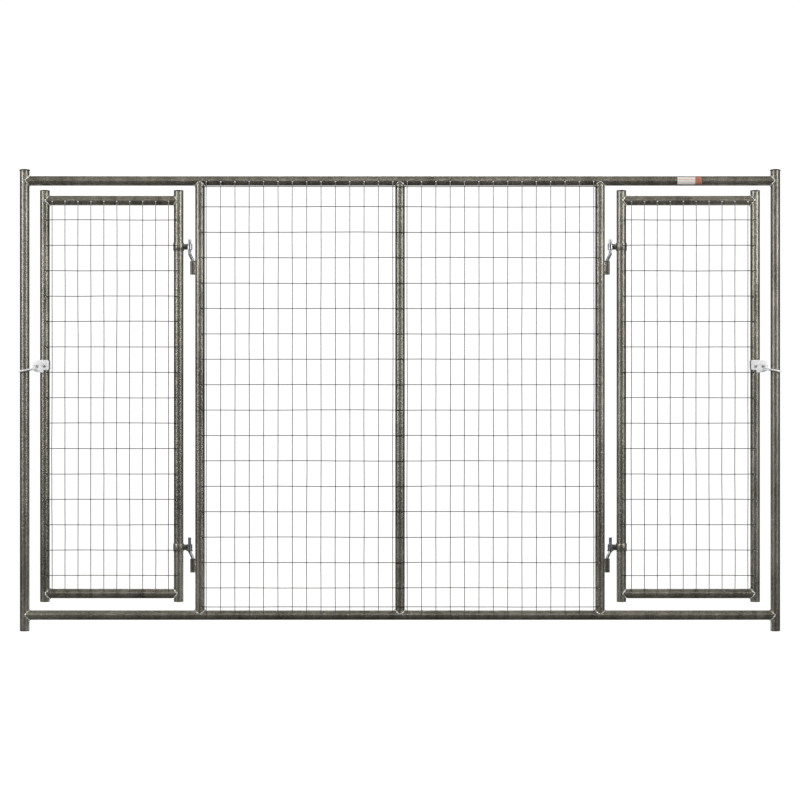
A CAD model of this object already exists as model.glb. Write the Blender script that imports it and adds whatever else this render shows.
# %% Load the panel
import math

import bmesh
import bpy
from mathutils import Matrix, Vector, noise


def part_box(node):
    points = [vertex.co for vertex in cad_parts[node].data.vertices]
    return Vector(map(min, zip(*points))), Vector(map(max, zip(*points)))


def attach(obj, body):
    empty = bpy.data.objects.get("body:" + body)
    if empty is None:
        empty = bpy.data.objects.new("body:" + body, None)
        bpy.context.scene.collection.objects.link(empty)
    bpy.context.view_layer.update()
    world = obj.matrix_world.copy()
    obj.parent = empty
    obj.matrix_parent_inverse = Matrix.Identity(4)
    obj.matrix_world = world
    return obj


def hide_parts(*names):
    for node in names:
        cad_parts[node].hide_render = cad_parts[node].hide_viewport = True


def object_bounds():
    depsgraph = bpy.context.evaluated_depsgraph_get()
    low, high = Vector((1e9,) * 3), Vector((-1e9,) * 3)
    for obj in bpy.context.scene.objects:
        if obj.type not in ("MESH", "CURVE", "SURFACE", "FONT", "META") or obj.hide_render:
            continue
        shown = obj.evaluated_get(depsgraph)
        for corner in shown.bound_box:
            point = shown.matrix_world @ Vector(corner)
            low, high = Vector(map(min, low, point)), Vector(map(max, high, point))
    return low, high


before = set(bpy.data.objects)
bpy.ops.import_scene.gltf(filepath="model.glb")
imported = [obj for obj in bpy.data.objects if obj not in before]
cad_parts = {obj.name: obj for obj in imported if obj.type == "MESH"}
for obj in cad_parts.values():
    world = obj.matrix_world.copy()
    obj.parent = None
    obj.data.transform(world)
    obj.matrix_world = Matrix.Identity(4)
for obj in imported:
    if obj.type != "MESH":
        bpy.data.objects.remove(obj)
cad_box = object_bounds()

# %% [markdown]
# ## Sizes come from the solids
# Every tube, pin and plate of the real panel already has an exact solid. A box round each solid gives
# its radius, its middle and its ends, so the finer meshes below are worked out from those boxes and
# nothing is typed in twice. Lengths are metres. The panel stands along X, the mesh faces -Y.

# %% Read sizes from the boxes
MM = 0.001


def middle(node):
    low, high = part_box(node)
    return (Vector(low) + Vector(high)) / 2


def extent(node):
    low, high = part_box(node)
    return Vector(high) - Vector(low)


TUBE_R = extent("left_post").x / 2
WALL = 1.65 * MM
COPE_R = TUBE_R + 0.2 * MM
WIRE_R = extent("centre_uprights_mesh").y / 2
UPRIGHT_Y = middle("centre_uprights_mesh").y
CROSSWIRE_Y = middle("centre_crosswires_mesh").y
POST_X = middle("right_post").x
MULLION_X = middle("right_mullion").x
HINGE_X = middle("right_hinge_stile").x
LATCH_X = middle("right_latch_stile").x
TOP_Z = middle("top_rail").z
BOTTOM_Z = middle("bottom_rail").z
GATE_TOP_Z = middle("right_gate_top_rail").z
GATE_BOTTOM_Z = middle("right_gate_bottom_rail").z
print(f"tube {TUBE_R * 2000:.2f} mm, wire {WIRE_R * 2000:.2f} mm")

# %% [markdown]
# ## Writing shaders as sums
# A finish such as hammered paint is a few lines of arithmetic on noise: so much of one pattern, plus a
# little of another, cut off below a level. The small class wraps a node socket so that `+`, `-` and `*`
# add the Math nodes, and a finish then reads like the sentence that describes it. Colours are mixed
# with Mix nodes, because a Math node would turn them grey.

# %% Sockets that can be added and multiplied


class Field:
    """An output of a finish's node tree that takes part in arithmetic."""

    def __init__(self, finish, socket):
        self.finish = finish
        self.socket = socket

    def maths(self, operation, *values):
        return self.finish.add("Math", {"operation": operation}, dict(enumerate(values)))

    def __abs__(self):
        return self.maths("ABSOLUTE", self)

    def __add__(self, other):
        return self.maths("ADD", self, other)

    def __sub__(self, other):
        return self.maths("SUBTRACT", self, other)

    def __rsub__(self, other):
        return self.maths("SUBTRACT", other, self)

    def __mul__(self, other):
        return self.maths("MULTIPLY", self, other)

    __radd__ = __add__
    __rmul__ = __mul__

    def between(self, low, high):
        """0 below low, 1 above high, and smooth from one to the other."""
        settings = {"interpolation_type": "SMOOTHSTEP"}
        return self.finish.add("MapRange", settings, {"Value": self, "From Min": low, "From Max": high})


class Finish:
    """One finish of the panel, built node by node on a Principled shader."""

    def __init__(self, name, metallic=0.0, **uniform):
        self.material = bpy.data.materials.new(name)
        self.material.use_nodes = True
        self.tree = self.material.node_tree
        self.shader = self.tree.nodes["Principled BSDF"]
        self.shader.inputs["Metallic"].default_value = metallic
        for socket, value in uniform.items():
            self.shader.inputs[socket.replace("_", " ").title().replace("Ior", "IOR")].default_value = value

    def add(self, kind, settings=None, sockets=None, output=0):
        """Adds a node, sets it up, fills its sockets with values or links, and returns one output."""
        node = self.tree.nodes.new("ShaderNode" + kind)
        for setting, value in (settings or {}).items():
            setattr(node, setting, value)
        for name, value in (sockets or {}).items():
            self.fill(node.inputs[name], value)
        return Field(self, node.outputs[output])

    def fill(self, socket, value):
        if isinstance(value, Field):
            self.tree.links.new(value.socket, socket)
        else:
            socket.default_value = value

    def place(self, stretch=(1, 1, 1)):
        """Where a point lies on the panel, in metres, stretched along some axes if asked."""
        here = self.add("TexCoord", output="Object")
        if tuple(stretch) == (1, 1, 1):
            return here
        return self.add("VectorMath", {"operation": "MULTIPLY"}, {0: here, 1: stretch})

    def grain(self, per_metre, detail=3.0, roughness=0.5, stretch=(1, 1, 1)):
        sockets = {"Vector": self.place(stretch), "Scale": per_metre,
                   "Detail": detail, "Roughness": roughness}
        return self.add("TexNoise", {"noise_dimensions": "3D"}, sockets)

    def cells(self, per_metre, feature="F1", randomness=1.0, stretch=(1, 1, 1)):
        sockets = {"Vector": self.place(stretch), "Scale": per_metre, "Randomness": randomness}
        return self.add("TexVoronoi", {"feature": feature}, sockets)

    def blend(self, amount, first, second):
        """The colour first where amount is 0, and second where it is 1."""
        settings = {"data_type": "RGBA"}
        sockets = {0: amount, 6: self.colour(first), 7: self.colour(second)}
        return self.add("Mix", settings, sockets, output=2)

    def colour(self, value):
        return value if isinstance(value, Field) else (*value, 1.0)

    def relief(self, height, depth, strength=1.0):
        return self.add("Bump", None, {"Height": height, "Distance": depth, "Strength": strength})

    def show(self, colour, roughness, normal=None, metallic=None):
        self.fill(self.shader.inputs["Base Color"], colour)
        self.fill(self.shader.inputs["Roughness"], roughness)
        if normal is not None:
            self.fill(self.shader.inputs["Normal"], normal)
        if metallic is not None:
            self.fill(self.shader.inputs["Metallic"], metallic)
        print("finish:", self.material.name, len(self.tree.nodes), "nodes")
        return self.material


# %% [markdown]
# ## Hammered taupe enamel
# The tubes are coated with a hammer-finish enamel: the wet paint pulls itself into shallow dimples a few
# millimetres across with paler rims, which hides mill marks and weld spatter. Two cell patterns of
# different size give the dimples, a slow noise makes the coat thick and thin along the tube, and a
# sparse fine noise chips it, mostly where it has been knocked. A flat picture of paint would repeat, and
# cells don't. Welding has scorched the coat on the sleeves that hold the hinge pins, so they get a darker
# mix from the same function.

# %% Enamel on the tubes


def hammered_enamel(name, light, dark, chips=0.73):
    finish = Finish(name, metallic=0.72, specular_ior_level=0.5)
    dimple = finish.cells(270.0, "SMOOTH_F1")
    fine = finish.cells(620.0)
    drift = finish.grain(3.2, detail=4.0, roughness=0.6)
    streak = finish.grain(34.0, detail=3.0, stretch=(1.0, 1.0, 0.16))
    speck = finish.grain(160.0, detail=5.0, roughness=0.72)
    patch = finish.grain(11.0, detail=2.0)
    wave = finish.grain(75.0, detail=2.0)
    coat = dimple * 0.5 + fine * 0.35 + streak * 1.1 + drift * 0.9 - 1.02
    paint = finish.blend(coat, dark, light)
    rim = dimple.between(0.4, 0.75)
    paint = finish.blend(rim * 0.2, paint, [min(1.0, c * 2.0) for c in light])
    chipped = (speck * 0.72 + patch * 0.42).between(chips - 0.012, chips + 0.012)
    paint = finish.blend(chipped * 0.55, paint, (0.42, 0.41, 0.38))
    roughness = 0.19 + dimple * 0.12 + drift * 0.2 + chipped * 0.12
    height = dimple * 1.0 + wave * 1.1 + fine * 0.15 + speck * 0.1 - chipped * 0.3
    return finish.show(paint, roughness, finish.relief(height, 0.6 * MM, 0.8))


ENAMEL = hammered_enamel("hammered taupe enamel", (0.375, 0.353, 0.297), (0.105, 0.097, 0.074))
SCORCHED_ENAMEL = hammered_enamel("enamel darkened by welding", (0.17, 0.16, 0.138), (0.055, 0.05, 0.041))

# %% [markdown]
# ## Enamel over a weld
# The weld beads are under the same coat, but their ripples gather more of it and shine more, and the
# heat round them left the steel bluish where the coat is thin. A separate, glossier finish with a
# coarser ripple shows that.

# %% Enamel on the welds


def bead_enamel():
    finish = Finish("enamel over weld bead", metallic=0.5, specular_ior_level=0.7)
    ripple = finish.grain(330.0, detail=4.0, roughness=0.65)
    spatter = finish.cells(360.0)
    tone = finish.grain(90.0, detail=3.0).between(0.38, 0.62)
    paint = finish.blend(tone, (0.2, 0.19, 0.15), (0.68, 0.66, 0.59))
    paint = finish.blend(spatter.between(0.35, 0.7) * 0.55, paint, (0.93, 0.92, 0.87))
    height = ripple * 0.8 + spatter * 0.4
    return finish.show(paint, 0.15 + ripple * 0.14, finish.relief(height, 0.8 * MM, 0.7))


BEAD_ENAMEL = bead_enamel()


def bare_weld():
    finish = Finish("bare weld metal", metallic=0.12, specular_ior_level=0.7)
    lump = finish.grain(500.0, detail=4.0, roughness=0.65)
    soot = finish.grain(150.0, detail=3.0).between(0.5, 0.68)
    metal = finish.blend(lump, (0.74, 0.73, 0.7), (1.0, 0.99, 0.97))
    metal = finish.blend(soot * 0.4, metal, (0.12, 0.11, 0.09))
    return finish.show(metal, 0.22 + soot * 0.3, finish.relief(lump, 0.4 * MM, 0.6))


BARE_WELD = bare_weld()

# %% [markdown]
# ## Galvanised mesh wire
# The mesh is drawn wire, welded and then galvanised: a dull grey zinc with small bright and dark
# patches and a little white bloom. The noise is fine in every direction, because one mesh holds wires
# that run both ways. The crosswires are darker than the uprights, and almost black where they are welded
# to a tube, so the same function makes a second finish that burns the wire within reach of each weld line.

# %% Zinc on the mesh


def galvanised_wire(name, light, dark, weld_lines, burnt_reach):
    finish = Finish(name, specular_ior_level=0.5)
    spangle = finish.cells(420.0, "F1")
    bloom = finish.grain(60.0, detail=4.0, roughness=0.6)
    drift = finish.grain(5.0, detail=2.0)
    zinc = finish.blend(spangle, dark, light)
    zinc = finish.blend(bloom.between(0.58, 0.8) * 0.5, zinc, [c * 1.4 for c in light])
    zinc = finish.blend(drift.between(0.35, 0.75) * 0.35, zinc, (0.15, 0.145, 0.13))
    sideways_place = finish.add("SeparateXYZ", None, {"Vector": finish.place()}, output="X")
    from_middle = abs(sideways_place)
    burnt = bloom * 0.0
    for line in weld_lines:
        burnt = burnt + (1 - abs(from_middle - line).between(burnt_reach * 0.8, burnt_reach))
    burnt = burnt * (0.75 + bloom * 0.3)
    zinc = finish.blend(burnt, zinc, (0.022, 0.02, 0.018))
    metal = 0.8 - bloom.between(0.5, 0.85) * 0.25 - burnt * 0.5
    roughness = 0.26 + bloom * 0.2 + burnt * 0.25
    height = spangle * 0.3 + bloom * 0.7
    return finish.show(zinc, roughness, finish.relief(height, 0.12 * MM, 0.5), metal)


GALVANISED = galvanised_wire("galvanised mesh wire", (0.215, 0.213, 0.208), (0.12, 0.119, 0.116), [], 0.0)
BURNT_ENDS = galvanised_wire("galvanised wire burnt at its welds", (0.1, 0.099, 0.096), (0.055, 0.054, 0.052),
                             [0.0, MULLION_X, HINGE_X, LATCH_X], TUBE_R)

# %% [markdown]
# ## Zinc plate, worn and bright
# The hinge pins and eyes are zinc plated and rubbed: satin metal that has dulled and darkened, with
# brown rust in the corners. The latch plates and forks are new and almost white, their bolts are a duller
# grey, and the hinge bolts are dark. One function makes all four, because only the colours, the depth of
# the tarnish, the rust and the shine differ.

# %% Plate on hinges and latches


def zinc_plate(name, bright, dull, tarnish, rust, metallic, roughness):
    finish = Finish(name, metallic)
    spangle = finish.cells(170.0)
    cloud = finish.grain(55.0, detail=5.0, roughness=0.62) + spangle * 0.35 - 0.16
    scuff = finish.grain(240.0, detail=3.0, stretch=(1.0, 1.0, 0.3))
    pit = finish.cells(700.0)
    stain = finish.grain(95.0, detail=6.0, roughness=0.7)
    plate = finish.blend(cloud.between(0.3, 0.7) * tarnish, bright, dull)
    plate = finish.blend(scuff.between(0.6, 0.75) * 0.25, plate, [min(1.0, c * 1.25) for c in bright])
    rusty = stain.between(0.62, 0.78) * rust
    plate = finish.blend(rusty, plate, (0.13, 0.062, 0.028))
    surface = roughness + cloud * 0.2 + rusty * 0.4
    height = scuff * 0.4 + pit * 0.15 + stain * 0.3 + spangle * 0.3
    return finish.show(plate, surface, finish.relief(height, 0.2 * MM, 0.6), metallic - rusty * metallic)


WORN_ZINC = zinc_plate("worn zinc plate", (0.46, 0.472, 0.485), (0.17, 0.174, 0.18), 0.9, 0.4, 0.92, 0.2)
BRIGHT_ZINC = zinc_plate("bright zinc plate", (1.0, 1.0, 1.0), (0.88, 0.885, 0.9), 1.0, 0.04, 0.05, 0.26)
DARK_STEEL = zinc_plate("dark bolt steel", (0.115, 0.115, 0.12), (0.045, 0.045, 0.047), 0.8, 0.45, 0.7, 0.4)
DULL_BOLT_ZINC = zinc_plate("dull bolt zinc", (0.5, 0.505, 0.51), (0.26, 0.262, 0.265), 0.9, 0.3, 0.6, 0.34)

# %% [markdown]
# ## Moulded plugs and the label
# The caps and plugs are black polyethylene with the faint orange-peel of a mould and grey scuffs. The
# label is a plain white film with one orange band, scuffed at its edges; it carries no words.

# %% Plastic and film


def moulded_black():
    finish = Finish("moulded black plastic", specular_ior_level=0.4)
    peel = finish.grain(520.0, detail=3.0)
    scuff = finish.grain(70.0, detail=6.0, roughness=0.7)
    worn = scuff.between(0.55, 0.75)
    black = finish.blend(worn * 0.55, (0.011, 0.011, 0.012), (0.075, 0.073, 0.07))
    return finish.show(black, 0.42 + worn * 0.2, finish.relief(peel + scuff * 0.6, 0.12 * MM, 0.6))


def label_film(band_start, band_end, top):
    finish = Finish("blank label film", specular_ior_level=0.45)
    along = finish.add("SeparateXYZ", None, {"Vector": finish.place()}, output="X")
    up = finish.add("SeparateXYZ", None, {"Vector": finish.place()}, output="Z")
    smear = finish.grain(140.0, detail=5.0, roughness=0.7)
    film = finish.blend(smear * 0.5, (0.86, 0.83, 0.8), (0.7, 0.64, 0.58))
    stripe = up.between(top - 13 * MM, top - 12.4 * MM) - up.between(top - 11 * MM, top - 10.4 * MM)
    film = finish.blend(stripe * 0.8, film, (0.74, 0.2, 0.07))
    band = along.between(band_start - 0.6 * MM, band_start + 0.6 * MM)
    film = finish.blend(band * (0.75 + smear * 0.25), film, (0.42, 0.105, 0.03))
    worn = (smear + along.between(band_end - 6 * MM, band_end) * 0.25).between(0.62, 0.7)
    film = finish.blend(worn * 0.6, film, (0.5, 0.44, 0.38))
    return finish.show(film, 0.32 + smear * 0.2, finish.relief(smear, 0.08 * MM, 0.4))


BLACK_PLASTIC = moulded_black()
label_low, label_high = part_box("label")
band_x = label_high[0] - 0.26 * (label_high[0] - label_low[0])
LABEL_FILM = label_film(band_x, label_high[0], label_high[2])

# %% [markdown]
# ## Four ways to make a shape
# Almost every piece of the panel is one of four things: a rod bent along a path, something turned on a
# lathe, a flat outline cut from plate, or a tube notched to fit round another. Each has one function.
# A piece collects parts in one bmesh, then becomes an object that rides on its body, stands in for its
# solids and takes one finish.

# %% Collect geometry and turn it into a piece


def finish_piece(name, mesh_builder, body, finish, nodes=(), smooth=40.0):
    """Makes an object of what mesh_builder holds and gives it its body, finish and solids."""
    data = bpy.data.meshes.new(name)
    bmesh.ops.remove_doubles(mesh_builder, verts=mesh_builder.verts, dist=1e-7)
    bmesh.ops.recalc_face_normals(mesh_builder, faces=mesh_builder.faces)
    mesh_builder.to_mesh(data)
    mesh_builder.free()
    data.materials.append(finish)
    data.shade_smooth()
    data.set_sharp_from_angle(angle=math.radians(smooth))
    piece = bpy.data.objects.new(name, data)
    bpy.context.collection.objects.link(piece)
    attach(piece, body)
    if nodes:
        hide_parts(*nodes)
    print("piece:", name, len(data.polygons), "faces on", body)
    return piece


def skin(mesh_builder, rings, closed_path=False, closed_ring=True):
    """Quads between rings of points, one ring after another. Returns the rings' vertices."""
    made = [[mesh_builder.verts.new(point) for point in ring] for ring in rings]
    pairs = list(zip(made, made[1:] + made[:1])) if closed_path else list(zip(made, made[1:]))
    for first, second in pairs:
        count = len(first)
        for i in range(count if closed_ring else count - 1):
            j = (i + 1) % count
            mesh_builder.faces.new((first[i], first[j], second[j], second[i]))
    return made


def across(axis):
    """Two unit vectors square to axis and to each other."""
    axis = axis.normalized()
    helper = Vector((0, 0, 1)) if abs(axis.z) < 0.9 else Vector((1, 0, 0))
    side = helper.cross(axis).normalized()
    return side, axis.cross(side)


# %% Bend a rod along a path


def rod(mesh_builder, path, radius, sides=12, rounded=0.0):
    """A round rod along path. radius is one number or one for each point; rounded softens both ends."""
    radii = list(radius) if isinstance(radius, (list, tuple)) else [radius] * len(path)
    if rounded:
        first = (path[1] - path[0]).normalized() * rounded
        last = (path[-1] - path[-2]).normalized() * rounded
        path = [path[0], path[0] + first * 0.3, path[0] + first, *path[1:-1],
                path[-1] - last, path[-1] - last * 0.3, path[-1]]
        radii = [radii[0] - rounded, radii[0] - rounded * 0.3, radii[0], *radii[1:-1],
                 radii[-1], radii[-1] - rounded * 0.3, radii[-1] - rounded]
    side, up = across(path[1] - path[0])
    rings = []
    for i, point in enumerate(path):
        ahead = (path[min(i + 1, len(path) - 1)] - path[max(i - 1, 0)]).normalized()
        side = (side - ahead * side.dot(ahead)).normalized()
        up = ahead.cross(side)
        turn = [2 * math.pi * k / sides for k in range(sides)]
        rings.append([point + radii[i] * (math.cos(a) * side + math.sin(a) * up) for a in turn])
    made = skin(mesh_builder, rings)
    mesh_builder.faces.new(made[0])
    mesh_builder.faces.new(made[-1])


def bend(corner, arriving, leaving, radius, steps=8):
    """Points of a smooth bend between two straight runs that meet at corner."""
    arriving, leaving = arriving.normalized(), leaving.normalized()
    half = arriving.angle(leaving) / 2
    start = corner - arriving * radius * math.tan(half)
    centre = start + (leaving - arriving * leaving.dot(arriving)).normalized() * radius
    spoke = start - centre
    axis = arriving.cross(leaving).normalized()
    points = []
    for i in range(steps + 1):
        angle = 2 * half * i / steps
        points.append(centre + spoke * math.cos(angle) + axis.cross(spoke) * math.sin(angle))
    return points


# %% Turn a profile on a lathe


def turned(mesh_builder, profile, foot, axis, sides=40, hollow=False):
    """Spins profile, a list of (radius, height) pairs, round axis from foot. hollow closes it as a ring."""
    side, up = across(axis)
    axis = axis.normalized()
    rings = []
    for k in range(sides):
        angle = 2 * math.pi * k / sides
        spoke = math.cos(angle) * side + math.sin(angle) * up
        rings.append([foot + spoke * r + axis * h for r, h in profile])
    skin(mesh_builder, rings, closed_path=True, closed_ring=hollow)


def ring_profile(outer, inner, height, soften):
    """A washer, eye or sleeve in section, with its four corners broken."""
    s = soften
    return [(inner, s), (inner + s, 0), (outer - s, 0), (outer, s),
            (outer, height - s), (outer - s, height), (inner + s, height), (inner, height - s)]


# %% Cut an outline from plate


def plate(mesh_builder, outline, holes, thickness, soften, place):
    """A flat plate with round holes and broken edges. place turns (x, y, depth) into a point of the panel."""
    curve = bpy.data.curves.new("plate outline", "CURVE")
    curve.dimensions = "2D"
    curve.fill_mode = "BOTH"
    curve.extrude = thickness / 2 - soften
    curve.bevel_depth = soften
    curve.offset = -soften
    curve.bevel_resolution = 1
    loops = [outline]
    for x, y, radius in holes:
        loops.append([(x + radius * math.cos(a * math.tau / 28), y - radius * math.sin(a * math.tau / 28))
                      for a in range(28)])
    for loop in loops:
        spline = curve.splines.new("POLY")
        spline.points.add(len(loop) - 1)
        spline.use_cyclic_u = True
        for point, (x, y) in zip(spline.points, loop):
            point.co = (x, y, 0, 1)
    holder = bpy.data.objects.new("plate outline", curve)
    data = bpy.data.meshes.new_from_object(holder)
    for vertex in data.vertices:
        x, y, depth = vertex.co
        vertex.co = place(x, y, depth)
    mesh_builder.from_mesh(data)
    bpy.data.objects.remove(holder)
    bpy.data.curves.remove(curve)
    bpy.data.meshes.remove(data)


def arc(centre_x, centre_y, radius, start, stop, steps=8):
    """Points of an arc in degrees, for outlines."""
    turn = [math.radians(start + (stop - start) * i / steps) for i in range(steps + 1)]
    return [(centre_x + radius * math.cos(a), centre_y + radius * math.sin(a)) for a in turn]


# %% [markdown]
# ## Notched tubes and their weld beads
# Where one tube meets another of the same size, its end is notched to a saddle that fits round it, and
# a bead of weld follows the saddle. Along the tube the notch is as deep as the other tube is wide at
# that point, so one square root gives every point of the cut, and the same curve carries the bead.

# %% Notch a tube and run a bead round the notch
SIDES = 48


def saddle(start, along, met, radius, reach):
    """Points where a tube of this radius, starting inside another along met, comes out at reach."""
    side = along.cross(met).normalized()
    points = []
    for k in range(SIDES):
        angle = math.tau * k / SIDES
        across_it = radius * math.cos(angle)
        depth = math.sqrt(max(reach * reach - across_it * across_it, 0.0))
        points.append(start + side * across_it + met * radius * math.sin(angle) + along * depth)
    return points


def notched_tube(mesh_builder, start, end, met):
    """A hollow tube from start to end, notched round tubes that run along met."""
    along = (end - start).normalized()
    rings = []
    for radius in (TUBE_R, TUBE_R - WALL):
        first = saddle(start, along, met, radius, COPE_R)
        last = saddle(end, -along, met, radius, COPE_R)
        last = [last[(SIDES // 2 - k) % SIDES] for k in range(SIDES)]
        rings.append([first, last])
    outside, inside = rings
    skin(mesh_builder, [outside[0], outside[1], inside[1], inside[0]], closed_path=True)


def bead(mesh_builder, start, along, met, width, seed):
    """A lumpy fillet that follows the saddle where a tube leaves another."""
    curve = saddle(start, along, met, TUBE_R + 0.3 * MM, TUBE_R + 0.9 * MM)
    centre = start + along * TUBE_R
    rings = []
    for k, point in enumerate(curve):
        ahead = (curve[(k + 1) % SIDES] - curve[k - 1]).normalized()
        out = (point - centre).normalized()
        out = (out - ahead * out.dot(ahead)).normalized()
        up = ahead.cross(out)
        ripple = noise.noise(Vector((seed * 7.3, k * 0.9, 0.0)))
        slow = noise.noise(Vector((seed * 3.1, k * 0.21, 5.0)))
        size = width * (1 + 0.28 * ripple + 0.3 * slow)
        rings.append([point + size * (math.cos(a) * out + math.sin(a) * up)
                      for a in (math.tau * j / 8 for j in range(8))])
    skin(mesh_builder, rings, closed_path=True)


def nugget(mesh_builder, point, size, seed):
    """A small blob of weld where a wire meets its tube."""
    made = bmesh.ops.create_icosphere(mesh_builder, subdivisions=2, radius=size)
    for vertex in made["verts"]:
        lump = 1 + 0.35 * noise.noise(vertex.co * 700 + Vector((seed * 1.7, 0, 0)))
        vertex.co = point + vertex.co * lump


X, Y, Z = Vector((1, 0, 0)), Vector((0, 1, 0)), Vector((0, 0, 1))

# %% [markdown]
# ## The fixed frame
# Two posts carry the rails and three mullions stand between the rails. The posts are plain lengths of
# tube, so they are turned; rails and mullions are notched. Each tube stays its own piece, as it is
# before it is welded.

# %% Posts, rails and mullions


def upright_tube(name, node, body):
    """A plain length of tube on Z with its cut ends broken."""
    low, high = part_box(node)
    builder = bmesh.new()
    profile = ring_profile(TUBE_R, TUBE_R - WALL, high[2] - low[2], 0.35 * MM)
    turned(builder, profile, Vector((middle(node).x, 0, low[2])), Z, SIDES, hollow=True)
    return finish_piece(name, builder, body, ENAMEL, [node])


def between_tubes(name, node, body, start, end, met):
    builder = bmesh.new()
    notched_tube(builder, start, end, met)
    return finish_piece(name, builder, body, ENAMEL, [node])


for side in ("left", "right"):
    upright_tube(f"{side}_post_tube", f"{side}_post", "frame")
for rail in ("top_rail", "bottom_rail"):
    z = middle(rail).z
    between_tubes(f"{rail}_tube", rail, "frame", Vector((-POST_X, 0, z)), Vector((POST_X, 0, z)), Z)
for mullion in ("left_mullion", "centre_mullion", "right_mullion"):
    x = middle(mullion).x
    between_tubes(f"{mullion}_tube", mullion, "frame", Vector((x, 0, BOTTOM_Z)), Vector((x, 0, TOP_Z)), X)

# %% [markdown]
# ## Wires that are not quite straight
# Drawn wire off a coil never lies dead straight, and welded mesh keeps a slight wander. Each wire moves
# a millimetre or two from its place by smooth noise, and both directions share the noise that moves
# the sheet in and out, so the crossings stay in touch. The crosswires lie on the uprights, so near a
# stile or mullion they dip back to touch it.

# %% Wander and dip of the mesh


def ripple_out(x, z, centre_x, half_width, low_z, high_z):
    """How far the sheet bows out at a point; nothing at the tubes that hold it."""
    across_it = max(0.0, 1 - ((x - centre_x) / half_width) ** 2)
    up_it = max(0.0, 1 - ((2 * z - low_z - high_z) / (high_z - low_z)) ** 4)
    return 1.6 * MM * noise.noise(Vector((x * 2.6, z * 2.6, 9.0))) * across_it * up_it


def sideways(seed, along, start, end):
    """A wire's wander across its own line; nothing at its two welded ends."""
    held = max(0.0, 1 - ((2 * along - start - end) / (end - start)) ** 6)
    slow = noise.noise(Vector((seed * 5.7, along * 2.1, 3.0)))
    quick_bend = noise.noise(Vector((seed * 2.9, along * 9.0, 7.0)))
    return (2.2 * MM * slow + 0.7 * MM * quick_bend) * held


def mesh_sheet(side, body, left_x, right_x, low_z, high_z, uprights, crosswires, nodes):
    """Both layers of one welded sheet, and the nuggets that hold it to its tubes."""
    centre_x, half = (left_x + right_x) / 2, (right_x - left_x) / 2
    upright_low, upright_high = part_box(nodes[0])
    builder = bmesh.new()
    welds = bmesh.new()
    for i, x in enumerate(uprights):
        start, end = upright_low[2], upright_high[2]
        path = []
        for k in range(49):
            z = start + (end - start) * k / 48
            bow = ripple_out(x, z, centre_x, half, low_z, high_z)
            path.append(Vector((x + sideways(i + 40 * half, z, start, end), UPRIGHT_Y + bow, z)))
        rod(builder, path, WIRE_R, 10, rounded=0.3 * MM)
        for z, size in ((low_z + 5 * MM, 2.3 * MM), (high_z - 5 * MM, 3.1 * MM)):
            nugget(welds, Vector((x, UPRIGHT_Y + WIRE_R * 0.7, z)), size, i + z)
    finish_piece(f"{side}_mesh_upright_wires", builder, body, GALVANISED, [nodes[0]], 60)
    builder = bmesh.new()
    for i, z in enumerate(crosswires):
        path = []
        steps = 64
        for k in range(steps + 1):
            x = left_x + (right_x - left_x) * k / steps
            reach = min(x - left_x, right_x - x)
            dip = max(0.0, 1 - reach / (TUBE_R * 1.1))
            seat = (UPRIGHT_Y - CROSSWIRE_Y) * dip * dip * (3 - 2 * dip)
            bow = ripple_out(x, z, centre_x, half, low_z, high_z)
            wire_z = z + sideways(i + 90 * half, x, left_x, right_x)
            path.append(Vector((x, CROSSWIRE_Y + bow + seat, wire_z)))
        rod(builder, path, WIRE_R, 10, rounded=0.3 * MM)
        for x in (left_x, right_x):
            towards = 5 * MM if x == left_x else -5 * MM
            weld_place = Vector((x + towards, UPRIGHT_Y + WIRE_R * 0.9, z - 1.6 * MM))
            nugget(welds, weld_place, 2.5 * MM, i * 1.3 + x)
    finish_piece(f"{side}_mesh_cross_wires", builder, body, BURNT_ENDS, [nodes[1]], 60)
    finish_piece(f"{side}_mesh_weld_nuggets", welds, body, BARE_WELD, smooth=80)


# %% [markdown]
# ## Where the wires lie
# The solids of a mesh node are separate wires, so their places are read from its vertices: every
# upright has its own X and every crosswire its own Z. Rounding to whole wires keeps this exact.

# %% Read the wires' places


def wire_places(node, axis):
    """Sorted middles, along axis, of the separate wires in a node."""
    values = sorted(vertex.co[axis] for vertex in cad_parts[node].data.vertices)
    places = []
    group = [values[0]]
    for value in values[1:]:
        if value - group[-1] > 4 * WIRE_R:
            places.append((group[0] + group[-1]) / 2)
            group = []
        group.append(value)
    places.append((group[0] + group[-1]) / 2)
    return places


centre_uprights = wire_places("centre_uprights_mesh", 0)
centre_crosswires = wire_places("centre_crosswires_mesh", 2)
print(len(centre_uprights), "uprights and", len(centre_crosswires), "crosswires in the middle")
mesh_sheet("centre", "frame", -MULLION_X, MULLION_X, BOTTOM_Z, TOP_Z, centre_uprights, centre_crosswires,
           ["centre_uprights_mesh", "centre_crosswires_mesh"])

# %% [markdown]
# ## Weld beads of the frame
# A bead runs round both ends of every rail and mullion. They are one piece, because the weld is one
# kind of thing on one body, and only its ripple differs from joint to joint.

# %% Beads round the frame's joints
frame_joints = []
for z in (BOTTOM_Z, TOP_Z):
    frame_joints.append((Vector((-POST_X, 0, z)), X, Z))
    frame_joints.append((Vector((POST_X, 0, z)), -X, Z))
for x in (-MULLION_X, 0.0, MULLION_X):
    frame_joints.append((Vector((x, 0, BOTTOM_Z)), Z, X))
    frame_joints.append((Vector((x, 0, TOP_Z)), -Z, X))
beads = bmesh.new()
for seed, (start, along, met) in enumerate(frame_joints):
    bead(beads, start, along, met, 3.4 * MM, seed)
finish_piece("frame_weld_beads", beads, "frame", BEAD_ENAMEL, smooth=80)

# %% [markdown]
# ## Caps and plugs
# A cap is a brim with a shallow dome over it, and a plug below that grips the tube's bore. Turning one
# profile gives all three, with every edge rounded as a mould leaves it.

# %% Turn the caps and plugs


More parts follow.
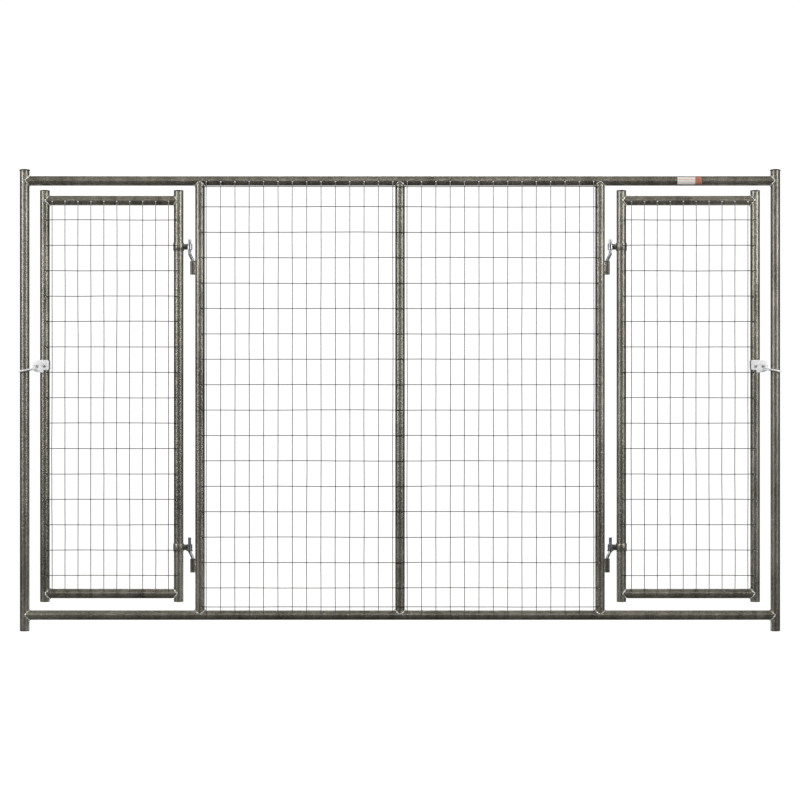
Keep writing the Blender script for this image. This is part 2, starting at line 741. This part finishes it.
def dome_profile(brim_r, brim, dome, plug_r, plug_depth):
    """From the plug's bottom centre round its brim to the top of the dome."""
    soft = min(0.8 * MM, brim / 3)
    profile = [(0, -plug_depth), (plug_r - soft, -plug_depth), (plug_r, soft - plug_depth), (plug_r, 0)]
    profile += [(brim_r - soft, 0), (brim_r, soft), (brim_r, brim - soft)]
    for i in range(1, 11):
        share = i / 10
        radius = (brim_r - soft * 0.4) * math.cos(share * math.pi / 2)
        profile.append((radius, brim - soft * 0.3 + (dome + soft * 0.3) * math.sin(share * math.pi / 2)))
    return profile


def cap(name, body, node, x, plug_depth):
    """A cap over the tube at x. The node may hold more than one, so its height gives the brim and dome."""
    low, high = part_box(node)
    brim_r = extent(node).y / 2
    seat = low[2] + plug_depth
    rise = high[2] - seat
    builder = bmesh.new()
    profile = dome_profile(brim_r, rise * 0.45, rise * 0.55, TUBE_R - WALL - 0.2 * MM, plug_depth)
    turned(builder, profile, Vector((x, 0, seat)), Z)
    return finish_piece(name, builder, body, BLACK_PLASTIC, [node])


PLUG_DEPTH = 15 * MM
for side, x in (("left", -POST_X), ("right", POST_X)):
    cap(f"{side}_post_dome_cap", "frame", f"{side}_post_cap", x, PLUG_DEPTH)
    builder = bmesh.new()
    foot = 3 * MM
    plug_r = TUBE_R - WALL - 0.2 * MM
    profile = [(0, 0), (TUBE_R - 1.1 * MM, 0), (TUBE_R - 0.35 * MM, 0.35 * MM), (TUBE_R, 1.1 * MM),
               (TUBE_R, foot - 0.05 * MM), (plug_r, foot - 0.05 * MM), (plug_r, PLUG_DEPTH - 0.6 * MM),
               (plug_r - 0.6 * MM, PLUG_DEPTH), (0, PLUG_DEPTH)]
    turned(builder, profile, Vector((x, 0, 0)), Z)
    finish_piece(f"{side}_post_foot", builder, "frame", BLACK_PLASTIC, [f"{side}_foot_plug"])

# %% [markdown]
# ## Cranked hinge pins, sleeves and washers
# A hinge pin is one half-inch bar with two bends, so that the gate turns clear of the mullion. It is a
# rod along three straight runs joined by bends. Its tail stands in a sleeve, which a bead on each side
# welds to the mullion, and a washer on the lower pin takes the gate's weight.

# %% Bend the pins and turn the sleeves


def pin_places(node, sign):
    """Axis, tail line, elbow heights and ends of a cranked pin, read from its mesh."""
    points = [Vector((vertex.co.x * sign, vertex.co.y, vertex.co.z))
              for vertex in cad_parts[node].data.vertices]
    low = min(p.z for p in points)
    high = max(p.z for p in points)
    outer = max(p.x for p in points if p.z > high - 20 * MM)
    inner = min(p.x for p in points if p.z > high - 20 * MM)
    tail_outer = max(p.x for p in points if p.z < low + 20 * MM)
    tail_inner = min(p.x for p in points if p.z < low + 20 * MM)
    return (outer + inner) / 2, (tail_outer + tail_inner) / 2, low, high, (outer - inner) / 2


PIN_LEG = 58 * MM
PIN_CRANK = 26 * MM


def hinge_pin(side, sign, level):
    node = f"{side}_{level}_hinge_pin"
    pin_x, tail_x, low, high, radius = pin_places(node, sign)
    top = Vector((pin_x * sign, 0, high))
    upper_elbow = Vector((pin_x * sign, 0, high - PIN_LEG))
    lower_elbow = Vector((tail_x * sign, 0, high - PIN_LEG - PIN_CRANK))
    tail = Vector((tail_x * sign, 0, low))
    slope = lower_elbow - upper_elbow
    path = [top, top - Z * 4 * MM, *bend(upper_elbow, -Z, slope, 15 * MM)]
    path += [*bend(lower_elbow, slope, -Z, 15 * MM), tail + Z * 4 * MM, tail]
    builder = bmesh.new()
    rod(builder, path, radius, 28, rounded=1.0 * MM)
    finish_piece(f"{side}_{level}_cranked_pin", builder, "frame", WORN_ZINC, [node])
    return pin_x, tail_x


PIN_R = pin_places("right_lower_hinge_pin", 1)[4]
for side, sign in (("left", -1), ("right", 1)):
    sleeves = bmesh.new()
    sleeve_welds = bmesh.new()
    sleeve_r = extent(f"{side}_hinge_sleeves").y / 2
    sleeve_low, sleeve_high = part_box(f"{side}_hinge_sleeves")
    for level in ("lower", "upper"):
        pin_x, tail_x = hinge_pin(side, sign, level)
        height = 55 * MM
        foot_z = sleeve_low[2] if level == "lower" else sleeve_high[2] - height
        turned(sleeves, ring_profile(sleeve_r, PIN_R + 0.05 * MM, height, 0.6 * MM),
               Vector((tail_x * sign, 0, foot_z)), Z, hollow=True)
        for face in (-1, 1):
            path = []
            sizes = []
            for k in range(25):
                z = foot_z + 3 * MM + (height - 6 * MM) * k / 24
                lump = noise.noise(Vector((z * 260, face * 3.0, sign * 5.0)))
                x = (abs(MULLION_X) + TUBE_R * 0.975) * sign
                path.append(Vector((x, face * (5.6 * MM + 0.3 * MM * lump), z)))
                sizes.append(2.3 * MM * (1 + 0.3 * lump))
            rod(sleeve_welds, path, sizes, 10)
    sleeve_node = f"{side}_hinge_sleeves"
    finish_piece(f"{side}_pin_sleeves", sleeves, "frame", SCORCHED_ENAMEL, [sleeve_node])
    finish_piece(f"{side}_sleeve_weld_beads", sleeve_welds, "frame", BEAD_ENAMEL, smooth=80)
    washer = bmesh.new()
    washer_low, washer_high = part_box(f"{side}_thrust_washer")
    turned(washer, ring_profile(extent(f"{side}_thrust_washer").y / 2, PIN_R + 0.05 * MM,
                                washer_high[2] - washer_low[2], 0.35 * MM),
           Vector((pin_x * sign, 0, washer_low[2])), Z, hollow=True)
    finish_piece(f"{side}_washer", washer, "frame", WORN_ZINC, [f"{side}_thrust_washer"])

# %% [markdown]
# ## Gate tubes
# Each gate is its own welded ladder of four tubes. The stiles run past the rails at both ends, capped
# at the top and left open at the foot so that water drains.

# %% Weld up the gates


def gate_tubes(side, sign):
    body = f"{side}_gate"
    for stile in ("latch_stile", "hinge_stile"):
        upright_tube(f"{side}_{stile}_tube", f"{side}_{stile}", body)
    joints = []
    for rail, z in (("gate_top_rail", GATE_TOP_Z), ("gate_bottom_rail", GATE_BOTTOM_Z)):
        inner, outer = Vector((HINGE_X * sign, 0, z)), Vector((LATCH_X * sign, 0, z))
        between_tubes(f"{side}_{rail}_tube", f"{side}_{rail}", body, inner, outer, Z)
        joints += [(inner, X * sign, Z), (outer, -X * sign, Z)]
    builder = bmesh.new()
    for seed, (start, along, met) in enumerate(joints):
        bead(builder, start, along, met, 3.6 * MM, seed + 20 + 10 * sign)
    finish_piece(f"{side}_gate_weld_beads", builder, body, BEAD_ENAMEL, smooth=80)
    low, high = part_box(f"{side}_stile_caps")
    seat = low[2] + PLUG_DEPTH
    rise = high[2] - seat
    caps = bmesh.new()
    for x in (HINGE_X, LATCH_X):
        profile = dome_profile(TUBE_R + 1 * MM, rise * 0.5, rise * 0.5, TUBE_R - WALL - 0.2 * MM, PLUG_DEPTH)
        turned(caps, profile, Vector((x * sign, 0, seat)), Z)
    finish_piece(f"{side}_stile_dome_caps", caps, body, BLACK_PLASTIC,
                 [f"{side}_stile_caps"])


for side, sign in (("left", -1), ("right", 1)):
    gate_tubes(side, sign)
    ends = sorted((HINGE_X * sign, LATCH_X * sign))
    wires = [f"{side}_gate_uprights_mesh", f"{side}_gate_crosswires_mesh"]
    mesh_sheet(f"{side}_gate", f"{side}_gate", *ends, GATE_BOTTOM_Z, GATE_TOP_Z,
               wire_places(wires[0], 0), wire_places(wires[1], 2), wires)

# %% [markdown]
# ## Nuts and bolts
# A bolt head and a nut are short six-sided prisms whose outer corners are turned off at 30 degrees. The
# outline is cut as plate, so its edges are broken, and the shank is turned with a few thread crests
# where it shows past the nut.

# %% One bolt and one nut along Y


def hexagon(width):
    radius = width / 2 / math.cos(math.pi / 6)
    turns = [math.pi / 6 + k * math.pi / 3 for k in range(6)]
    return [(radius * math.cos(turn), radius * math.sin(turn)) for turn in turns]


HEX = 10 * MM
BOLT_R = 3 * MM


def along_y(x, y, z):
    """Sets a flat outline up facing the front, its middle at y."""
    return lambda across_it, up_it, depth: (x + across_it, y + depth, z + up_it)


def bolt(builder, x, z, low_y, high_y):
    """A bolt whose head starts at low_y, the front, and whose end is at high_y."""
    plate(builder, hexagon(HEX), [], 4 * MM, 0.5 * MM, along_y(x, low_y + 2 * MM, z))
    crests = []
    y = high_y - 6 * MM
    while y < high_y - 0.9 * MM:
        crests += [(BOLT_R, y), (BOLT_R - 0.3 * MM, y + 0.5 * MM)]
        y += 1.0 * MM
    profile = [(0, low_y + 3 * MM), (BOLT_R, low_y + 3 * MM), *crests,
               (BOLT_R - 0.2 * MM, high_y - 0.6 * MM), (BOLT_R - 0.8 * MM, high_y), (0, high_y)]
    turned(builder, profile, Vector((x, 0, z)), Y, 24)


def nut(builder, x, z, y):
    plate(builder, hexagon(HEX), [(0, 0, BOLT_R + 0.1 * MM)], 5 * MM, 0.5 * MM, along_y(x, y + 2.5 * MM, z))


def bolts_and_nuts(side, group, places, finish):
    """Bolts and nuts of one group, at the heights and grips that their solids have."""
    for kind in ("bolts", "nuts"):
        node = f"{side}_{group}_{kind}"
        low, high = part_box(node)
        builder = bmesh.new()
        for x, z in places:
            if kind == "bolts":
                bolt(builder, x, z, low[1], high[1])
            else:
                nut(builder, x, z, low[1])
        finish_piece(f"{side}_{group}_hex_{kind}", builder, f"{side}_gate", finish, [node])


# %% [markdown]
# ## Bands and eyes
# A band is a strip bent round the stile with its two ends turned out as ears. The ears pinch the flat
# tongue of the eye, and one bolt closes both. The strip is drawn as an outline seen from above and
# raised to its height; the eye is a turned barrel with a tongue cut from plate.

# %% Bend the bands and make the eyes


def level_z(node_low, node_high, height):
    """Middles of the two pieces of this height in a node: the lower one and the upper one."""
    return node_low + height / 2, node_high - height / 2


def hinge_hardware(side, sign):
    body = f"{side}_gate"
    pin_x = pin_places(f"{side}_lower_hinge_pin", sign)[0]
    band_node, eye_node = f"{side}_hinge_bands", f"{side}_hinge_eyes"
    band_low, band_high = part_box(band_node)
    eye_low, eye_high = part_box(eye_node)
    band_height, eye_height, ear_height = 31 * MM, 24.5 * MM, 22.5 * MM
    levels = level_z(band_low[2], band_high[2], band_height)
    band_r = extent(band_node).y / 2
    eye_r = extent(eye_node).y / 2
    strap = band_r - TUBE_R - 0.2 * MM
    slot = 2.55 * MM
    ear_tip = min(abs(band_low[0]), abs(band_high[0]))
    tongue_end = max(abs(eye_low[0]), abs(eye_high[0]))
    bolt_x = middle(f"{side}_hinge_bolts").x
    opening = math.degrees(math.asin(slot / band_r))
    inner_opening = math.degrees(math.asin(slot / (band_r - strap)))
    bands, eyes = bmesh.new(), bmesh.new()
    for z in levels:
        def flat(across_it, up_it, depth):
            return (sign * across_it, up_it, z + depth)

        ring = arc(HINGE_X, 0, band_r, 180 - opening, opening - 180, 48)
        ring += arc(HINGE_X, 0, band_r - strap, inner_opening - 180, 180 - inner_opening, 48)
        plate(bands, ring, [], band_height, 0.2 * MM, flat)
        for face in (-1, 1):
            ear = [(HINGE_X - band_r + 3.0 * MM, slot), (HINGE_X - band_r + 2.2 * MM, slot + strap),
                   (ear_tip + 0.8 * MM, slot + strap), (ear_tip, slot + strap * 0.5),
                   (ear_tip + 0.6 * MM, slot)]
            plate(bands, [(x, face * y) for x, y in ear], [], ear_height, 0.3 * MM, flat)
        turned(eyes, ring_profile(eye_r, PIN_R + 0.08 * MM, eye_height, 0.8 * MM),
               Vector((pin_x * sign, 0, z - eye_height / 2)), Z, hollow=True)
        tongue_half = ear_height / 2 - 1 * MM
        root = pin_x + eye_r - 1.6 * MM
        tongue = [(root, -tongue_half), (tongue_end, -tongue_half), (tongue_end, tongue_half),
                  (root, tongue_half)]
        hole = [(abs(bolt_x), 0, BOLT_R + 0.3 * MM)]
        plate(eyes, tongue, hole, 5 * MM, 0.4 * MM, lambda a, b, depth: (sign * a, depth, z + b))
    finish_piece(f"{side}_stile_bands", bands, body, ENAMEL, [band_node])
    finish_piece(f"{side}_pin_eyes", eyes, body, WORN_ZINC, [eye_node])
    bolts_and_nuts(side, "hinge", [(bolt_x, z) for z in levels], DARK_STEEL)


for side, sign in (("left", -1), ("right", 1)):
    hinge_hardware(side, sign)

# %% [markdown]
# ## The gravity fork latch
# Two plates clamp the latch stile, with a spacer between their round noses. A rod bent into a fork
# turns in the noses. Its weight drops the two prongs on each side of the end post, and a tab folded
# out of each plate stops it there. Lifting the fork frees the gate.

# %% Plates, spacer and fork


def latch(side, sign):
    body = f"{side}_gate"
    plates_node = f"{side}_latch_front_plate"
    low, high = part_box(plates_node)
    half = (high[2] - low[2]) / 2
    latch_z = (high[2] + low[2]) / 2
    tip_x = max(abs(low[0]), abs(high[0]))
    back_x = LATCH_X - TUBE_R
    nose_bolt_x = abs(middle(f"{side}_latch_spacer").x)
    fork_low, fork_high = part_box(f"{side}_latch_fork")
    fork_r = 3.175 * MM
    prong_y = (fork_high[1] - fork_low[1]) / 2 - fork_r - 0.4 * MM
    pivot = Vector((nose_bolt_x + 9 * MM, 0, latch_z - 9 * MM))
    thickness = 2.5 * MM
    inner_y = TUBE_R + 0.2 * MM
    notch_z = latch_z - half + 10 * MM
    outline = arc(tip_x - half, latch_z, half, -90, 90, 24)
    outline += arc(back_x + 6 * MM, latch_z + half - 6 * MM, 6 * MM, 90, 180)
    outline += arc(back_x + 6 * MM, notch_z + 6 * MM, 6 * MM, 180, 270)
    outline += [(LATCH_X + 0.6 * MM, notch_z), (LATCH_X + 2 * MM, notch_z - 1.4 * MM),
                (LATCH_X + 2 * MM, latch_z - half + 2 * MM), (LATCH_X + 4 * MM, latch_z - half)]
    holes = [(LATCH_X, latch_z, BOLT_R + 0.3 * MM), (nose_bolt_x, latch_z, BOLT_R + 0.3 * MM),
             (pivot.x, pivot.z, fork_r + 0.08 * MM)]
    tab_reach = tip_x - pivot.x - 2 * MM
    droop = math.radians(11)
    tab_top = pivot.z - fork_r / math.cos(droop) - tab_reach * math.tan(droop) - 0.3 * MM
    for face, place in ((-1, "front"), (1, "rear")):
        builder = bmesh.new()
        plate(builder, outline, holes, thickness, 0.35 * MM,
              lambda a, b, depth: (sign * a, face * (inner_y + thickness / 2) + depth, b))
        tab = [(pivot.x - fork_r, tab_top - thickness), (pivot.x + tab_reach, tab_top - thickness),
               (pivot.x + tab_reach, tab_top), (pivot.x - fork_r, tab_top)]
        tab_length = prong_y + fork_r - inner_y - 1 * MM
        plate(builder, tab, [], tab_length, 0.4 * MM,
              lambda a, b, depth: (sign * a, face * (inner_y + 1 * MM + tab_length / 2) + depth, b))
        finish_piece(f"{side}_{place}_latch_plate", builder, body, BRIGHT_ZINC,
                     [f"{side}_latch_{place}_plate"])
    spacer_r = extent(f"{side}_latch_spacer").x / 2
    spacer = bmesh.new()
    turned(spacer, ring_profile(spacer_r, BOLT_R + 0.3 * MM, 2 * inner_y - 0.1 * MM, 0.3 * MM),
           Vector((nose_bolt_x * sign, -inner_y + 0.05 * MM, latch_z)), Y, hollow=True)
    finish_piece(f"{side}_nose_spacer", spacer, body, WORN_ZINC, [f"{side}_latch_spacer"])
    latch_bolt_places = [(LATCH_X * sign, latch_z), (nose_bolt_x * sign, latch_z)]
    bolts_and_nuts(side, "latch", latch_bolt_places, DULL_BOLT_ZINC)
    prong = Vector((math.cos(droop) * sign, 0, -math.sin(droop)))
    reach = max(abs(fork_low[0]), abs(fork_high[0])) - pivot.x - fork_r * math.sin(droop)
    tips = []
    corners = []
    for face in (-1, 1):
        corner = Vector((pivot.x * sign, face * prong_y, pivot.z))
        corners.append(corner)
        tips.append(corner + prong * reach / math.cos(droop))
    path = [tips[0], *bend(corners[0], -prong, Y, 5 * MM), *bend(corners[1], Y, prong, 5 * MM), tips[1]]
    fork = bmesh.new()
    rod(fork, path, fork_r, 20, rounded=0.9 * MM)
    finish_piece(f"{side}_gravity_fork", fork, f"{side}_latch", BRIGHT_ZINC,
                 [f"{side}_latch_fork"])


for side, sign in (("left", -1), ("right", 1)):
    latch(side, sign)

# %% [markdown]
# ## The label
# A sticker wraps the front of the top rail. It is a sheet a fraction of a millimetre thick, bent to the
# tube, with corners that have started to lift. It stays blank.

# %% Wrap the label
label_builder = bmesh.new()
label_radius = TUBE_R + 0.07 * MM
label_rows, label_columns = 24, 32
half_wrap = math.asin(extent("label").z / 2 / (TUBE_R + 0.35 * MM))
grid = []
for row in range(label_rows + 1):
    angle = half_wrap * (2 * row / label_rows - 1)
    line = []
    for column in range(label_columns + 1):
        share = column / label_columns
        x = label_low[0] + (label_high[0] - label_low[0]) * share
        corner = (abs(2 * share - 1) ** 14) * (abs(2 * row / label_rows - 1) ** 8)
        radius = label_radius + 0.5 * MM * corner
        line.append(Vector((x, -radius * math.cos(angle), TOP_Z + radius * math.sin(angle))))
    grid.append(line)
skin(label_builder, grid, closed_ring=False)
label_sheet = finish_piece("blank_label", label_builder, "frame", LABEL_FILM, ["label"])
solidify = label_sheet.modifiers.new("film thickness", "SOLIDIFY")
solidify.thickness = 0.2 * MM
solidify.offset = 0

# %% [markdown]
# ## Floor, light and camera
# The panel stands on a plain pale floor in front of white. One broad lamp above gives the rails their
# pale top, and two large ones far out to the left and right in front put a soft line down each upright. A
# tube mirrors a lamp as a line, so what a lamp does depends on where it stands more than on its power.
# Weaker lamps fill the front and light the back from above, and four pairs below the floor, in front and
# behind, keep the undersides from going black. The floor casts no shadow, so their light passes through
# it. The tubes' edges stay dark, because the white round the panel is seen but lights almost nothing.

# %% Floor and white surroundings
FLOOR_REACH = 6.5
floor_data = bpy.data.meshes.new("yard_floor")
floor_builder = bmesh.new()
bmesh.ops.create_circle(floor_builder, cap_ends=True, segments=96, radius=FLOOR_REACH)
floor_builder.to_mesh(floor_data)
floor_builder.free()
floor = bpy.data.objects.new("yard_floor", floor_data)
bpy.context.collection.objects.link(floor)
floor.visible_glossy = False
floor.visible_diffuse = False
floor.visible_shadow = False


def pale_floor():
    finish = Finish("pale floor", specular_ior_level=0.1, emission_strength=0.9)
    cloud = finish.grain(0.8, detail=3.0)
    away = finish.add("VectorMath", {"operation": "LENGTH"}, {0: finish.place()}, output="Value")
    finish.fill(finish.shader.inputs["Emission Color"], (0.98, 0.98, 0.975, 1.0))
    finish.fill(finish.shader.inputs["Alpha"], 1 - away.between(2.4, FLOOR_REACH - 0.4))
    return finish.show(finish.blend(cloud, (0.2, 0.2, 0.198), (0.24, 0.24, 0.238)), 0.9)


floor_data.materials.append(pale_floor())

world = bpy.data.worlds.new("white surroundings")
bpy.context.scene.world = world
world.use_nodes = True
world_nodes, world_links = world.node_tree.nodes, world.node_tree.links
seen_by = world_nodes.new("ShaderNodeLightPath")
white = world_nodes["Background"]
white.inputs["Color"].default_value = (1, 1, 1, 1)
white.inputs["Strength"].default_value = 1.05
dim = world_nodes.new("ShaderNodeBackground")
dim.inputs["Color"].default_value = (0.8, 0.82, 0.85, 1)
dim.inputs["Strength"].default_value = 0.02
choice = world_nodes.new("ShaderNodeMixShader")
world_links.new(seen_by.outputs["Is Camera Ray"], choice.inputs["Fac"])
world_links.new(dim.outputs["Background"], choice.inputs[1])
world_links.new(white.outputs["Background"], choice.inputs[2])
world_links.new(choice.outputs["Shader"], world_nodes["World Output"].inputs["Surface"])

# %% Lamps


def lamp(name, place, aim, width, height, power, colour=(1, 1, 1)):
    data = bpy.data.lights.new(name, "AREA")
    data.shape = "RECTANGLE"
    data.size, data.size_y = width, height
    data.energy = power
    data.color = colour
    holder = bpy.data.objects.new(name, data)
    holder.location = place
    holder.rotation_euler = (Vector(aim) - Vector(place)).to_track_quat("-Z", "Y").to_euler()
    bpy.context.collection.objects.link(holder)
    print("lamp:", name, power, "W")
    return holder


panel_low, panel_high = cad_box
panel_middle = (panel_low + panel_high) / 2
lamp("overhead", (0, -1.2, 4.8), (0, 0, 1.1), 5.0, 1.2, 33, (1.0, 0.95, 0.86))
lamp("left side", (-7.0, -5.6, 3.5), (-0.4, 0, 1.3), 4.4, 4.0, 430, (0.985, 0.99, 1.0))
lamp("right side", (7.0, -5.6, 3.5), (0.4, 0, 1.3), 4.4, 4.0, 430, (0.985, 0.99, 1.0))
lamp("front fill", (0, -8.5, 4.6), (0, 0, 1.0), 4.0, 2.4, 96)
lamp("behind", (0, 4.4, 4.6), (0, 0, 0.9), 4.0, 1.5, 80)
for hand in (-1, 1):
    lamp("low front", (4.6 * hand, -3.6, -2.6), (0.6 * hand, 0, 0.8), 2.6, 2.0, 22)
    lamp("high back", (4.2 * hand, 3.4, 4.6), (0, 0, 1.1), 2.0, 1.6, 100)
    lamp("low back", (4.0 * hand, 3.6, -1.9), (0, 0, 0.9), 2.6, 1.8, 110)
    lamp("front bounce", (3.9 * hand, -1.9, -4.2), (0.5 * hand, 0, 0.9), 2.6, 2.0, 11)
    lamp("back bounce", (3.9 * hand, 2.6, -4.2), (0.5 * hand, 0, 0.9), 2.6, 2.0, 60)

# %% Camera
camera_data = bpy.data.cameras.new("front camera")
camera_data.sensor_width = 36.0
camera_data.lens = 101.0
camera = bpy.data.objects.new("front camera", camera_data)
camera.location = (panel_middle.x, -9.0, panel_middle.z)
camera.rotation_euler = (math.radians(90), 0, 0)
bpy.context.collection.objects.link(camera)
bpy.context.scene.camera = camera
bpy.context.scene.view_settings.view_transform = "Standard"

# %% Compare the two boxes
print("solids", [round(v, 4) for corner in cad_box for v in corner])
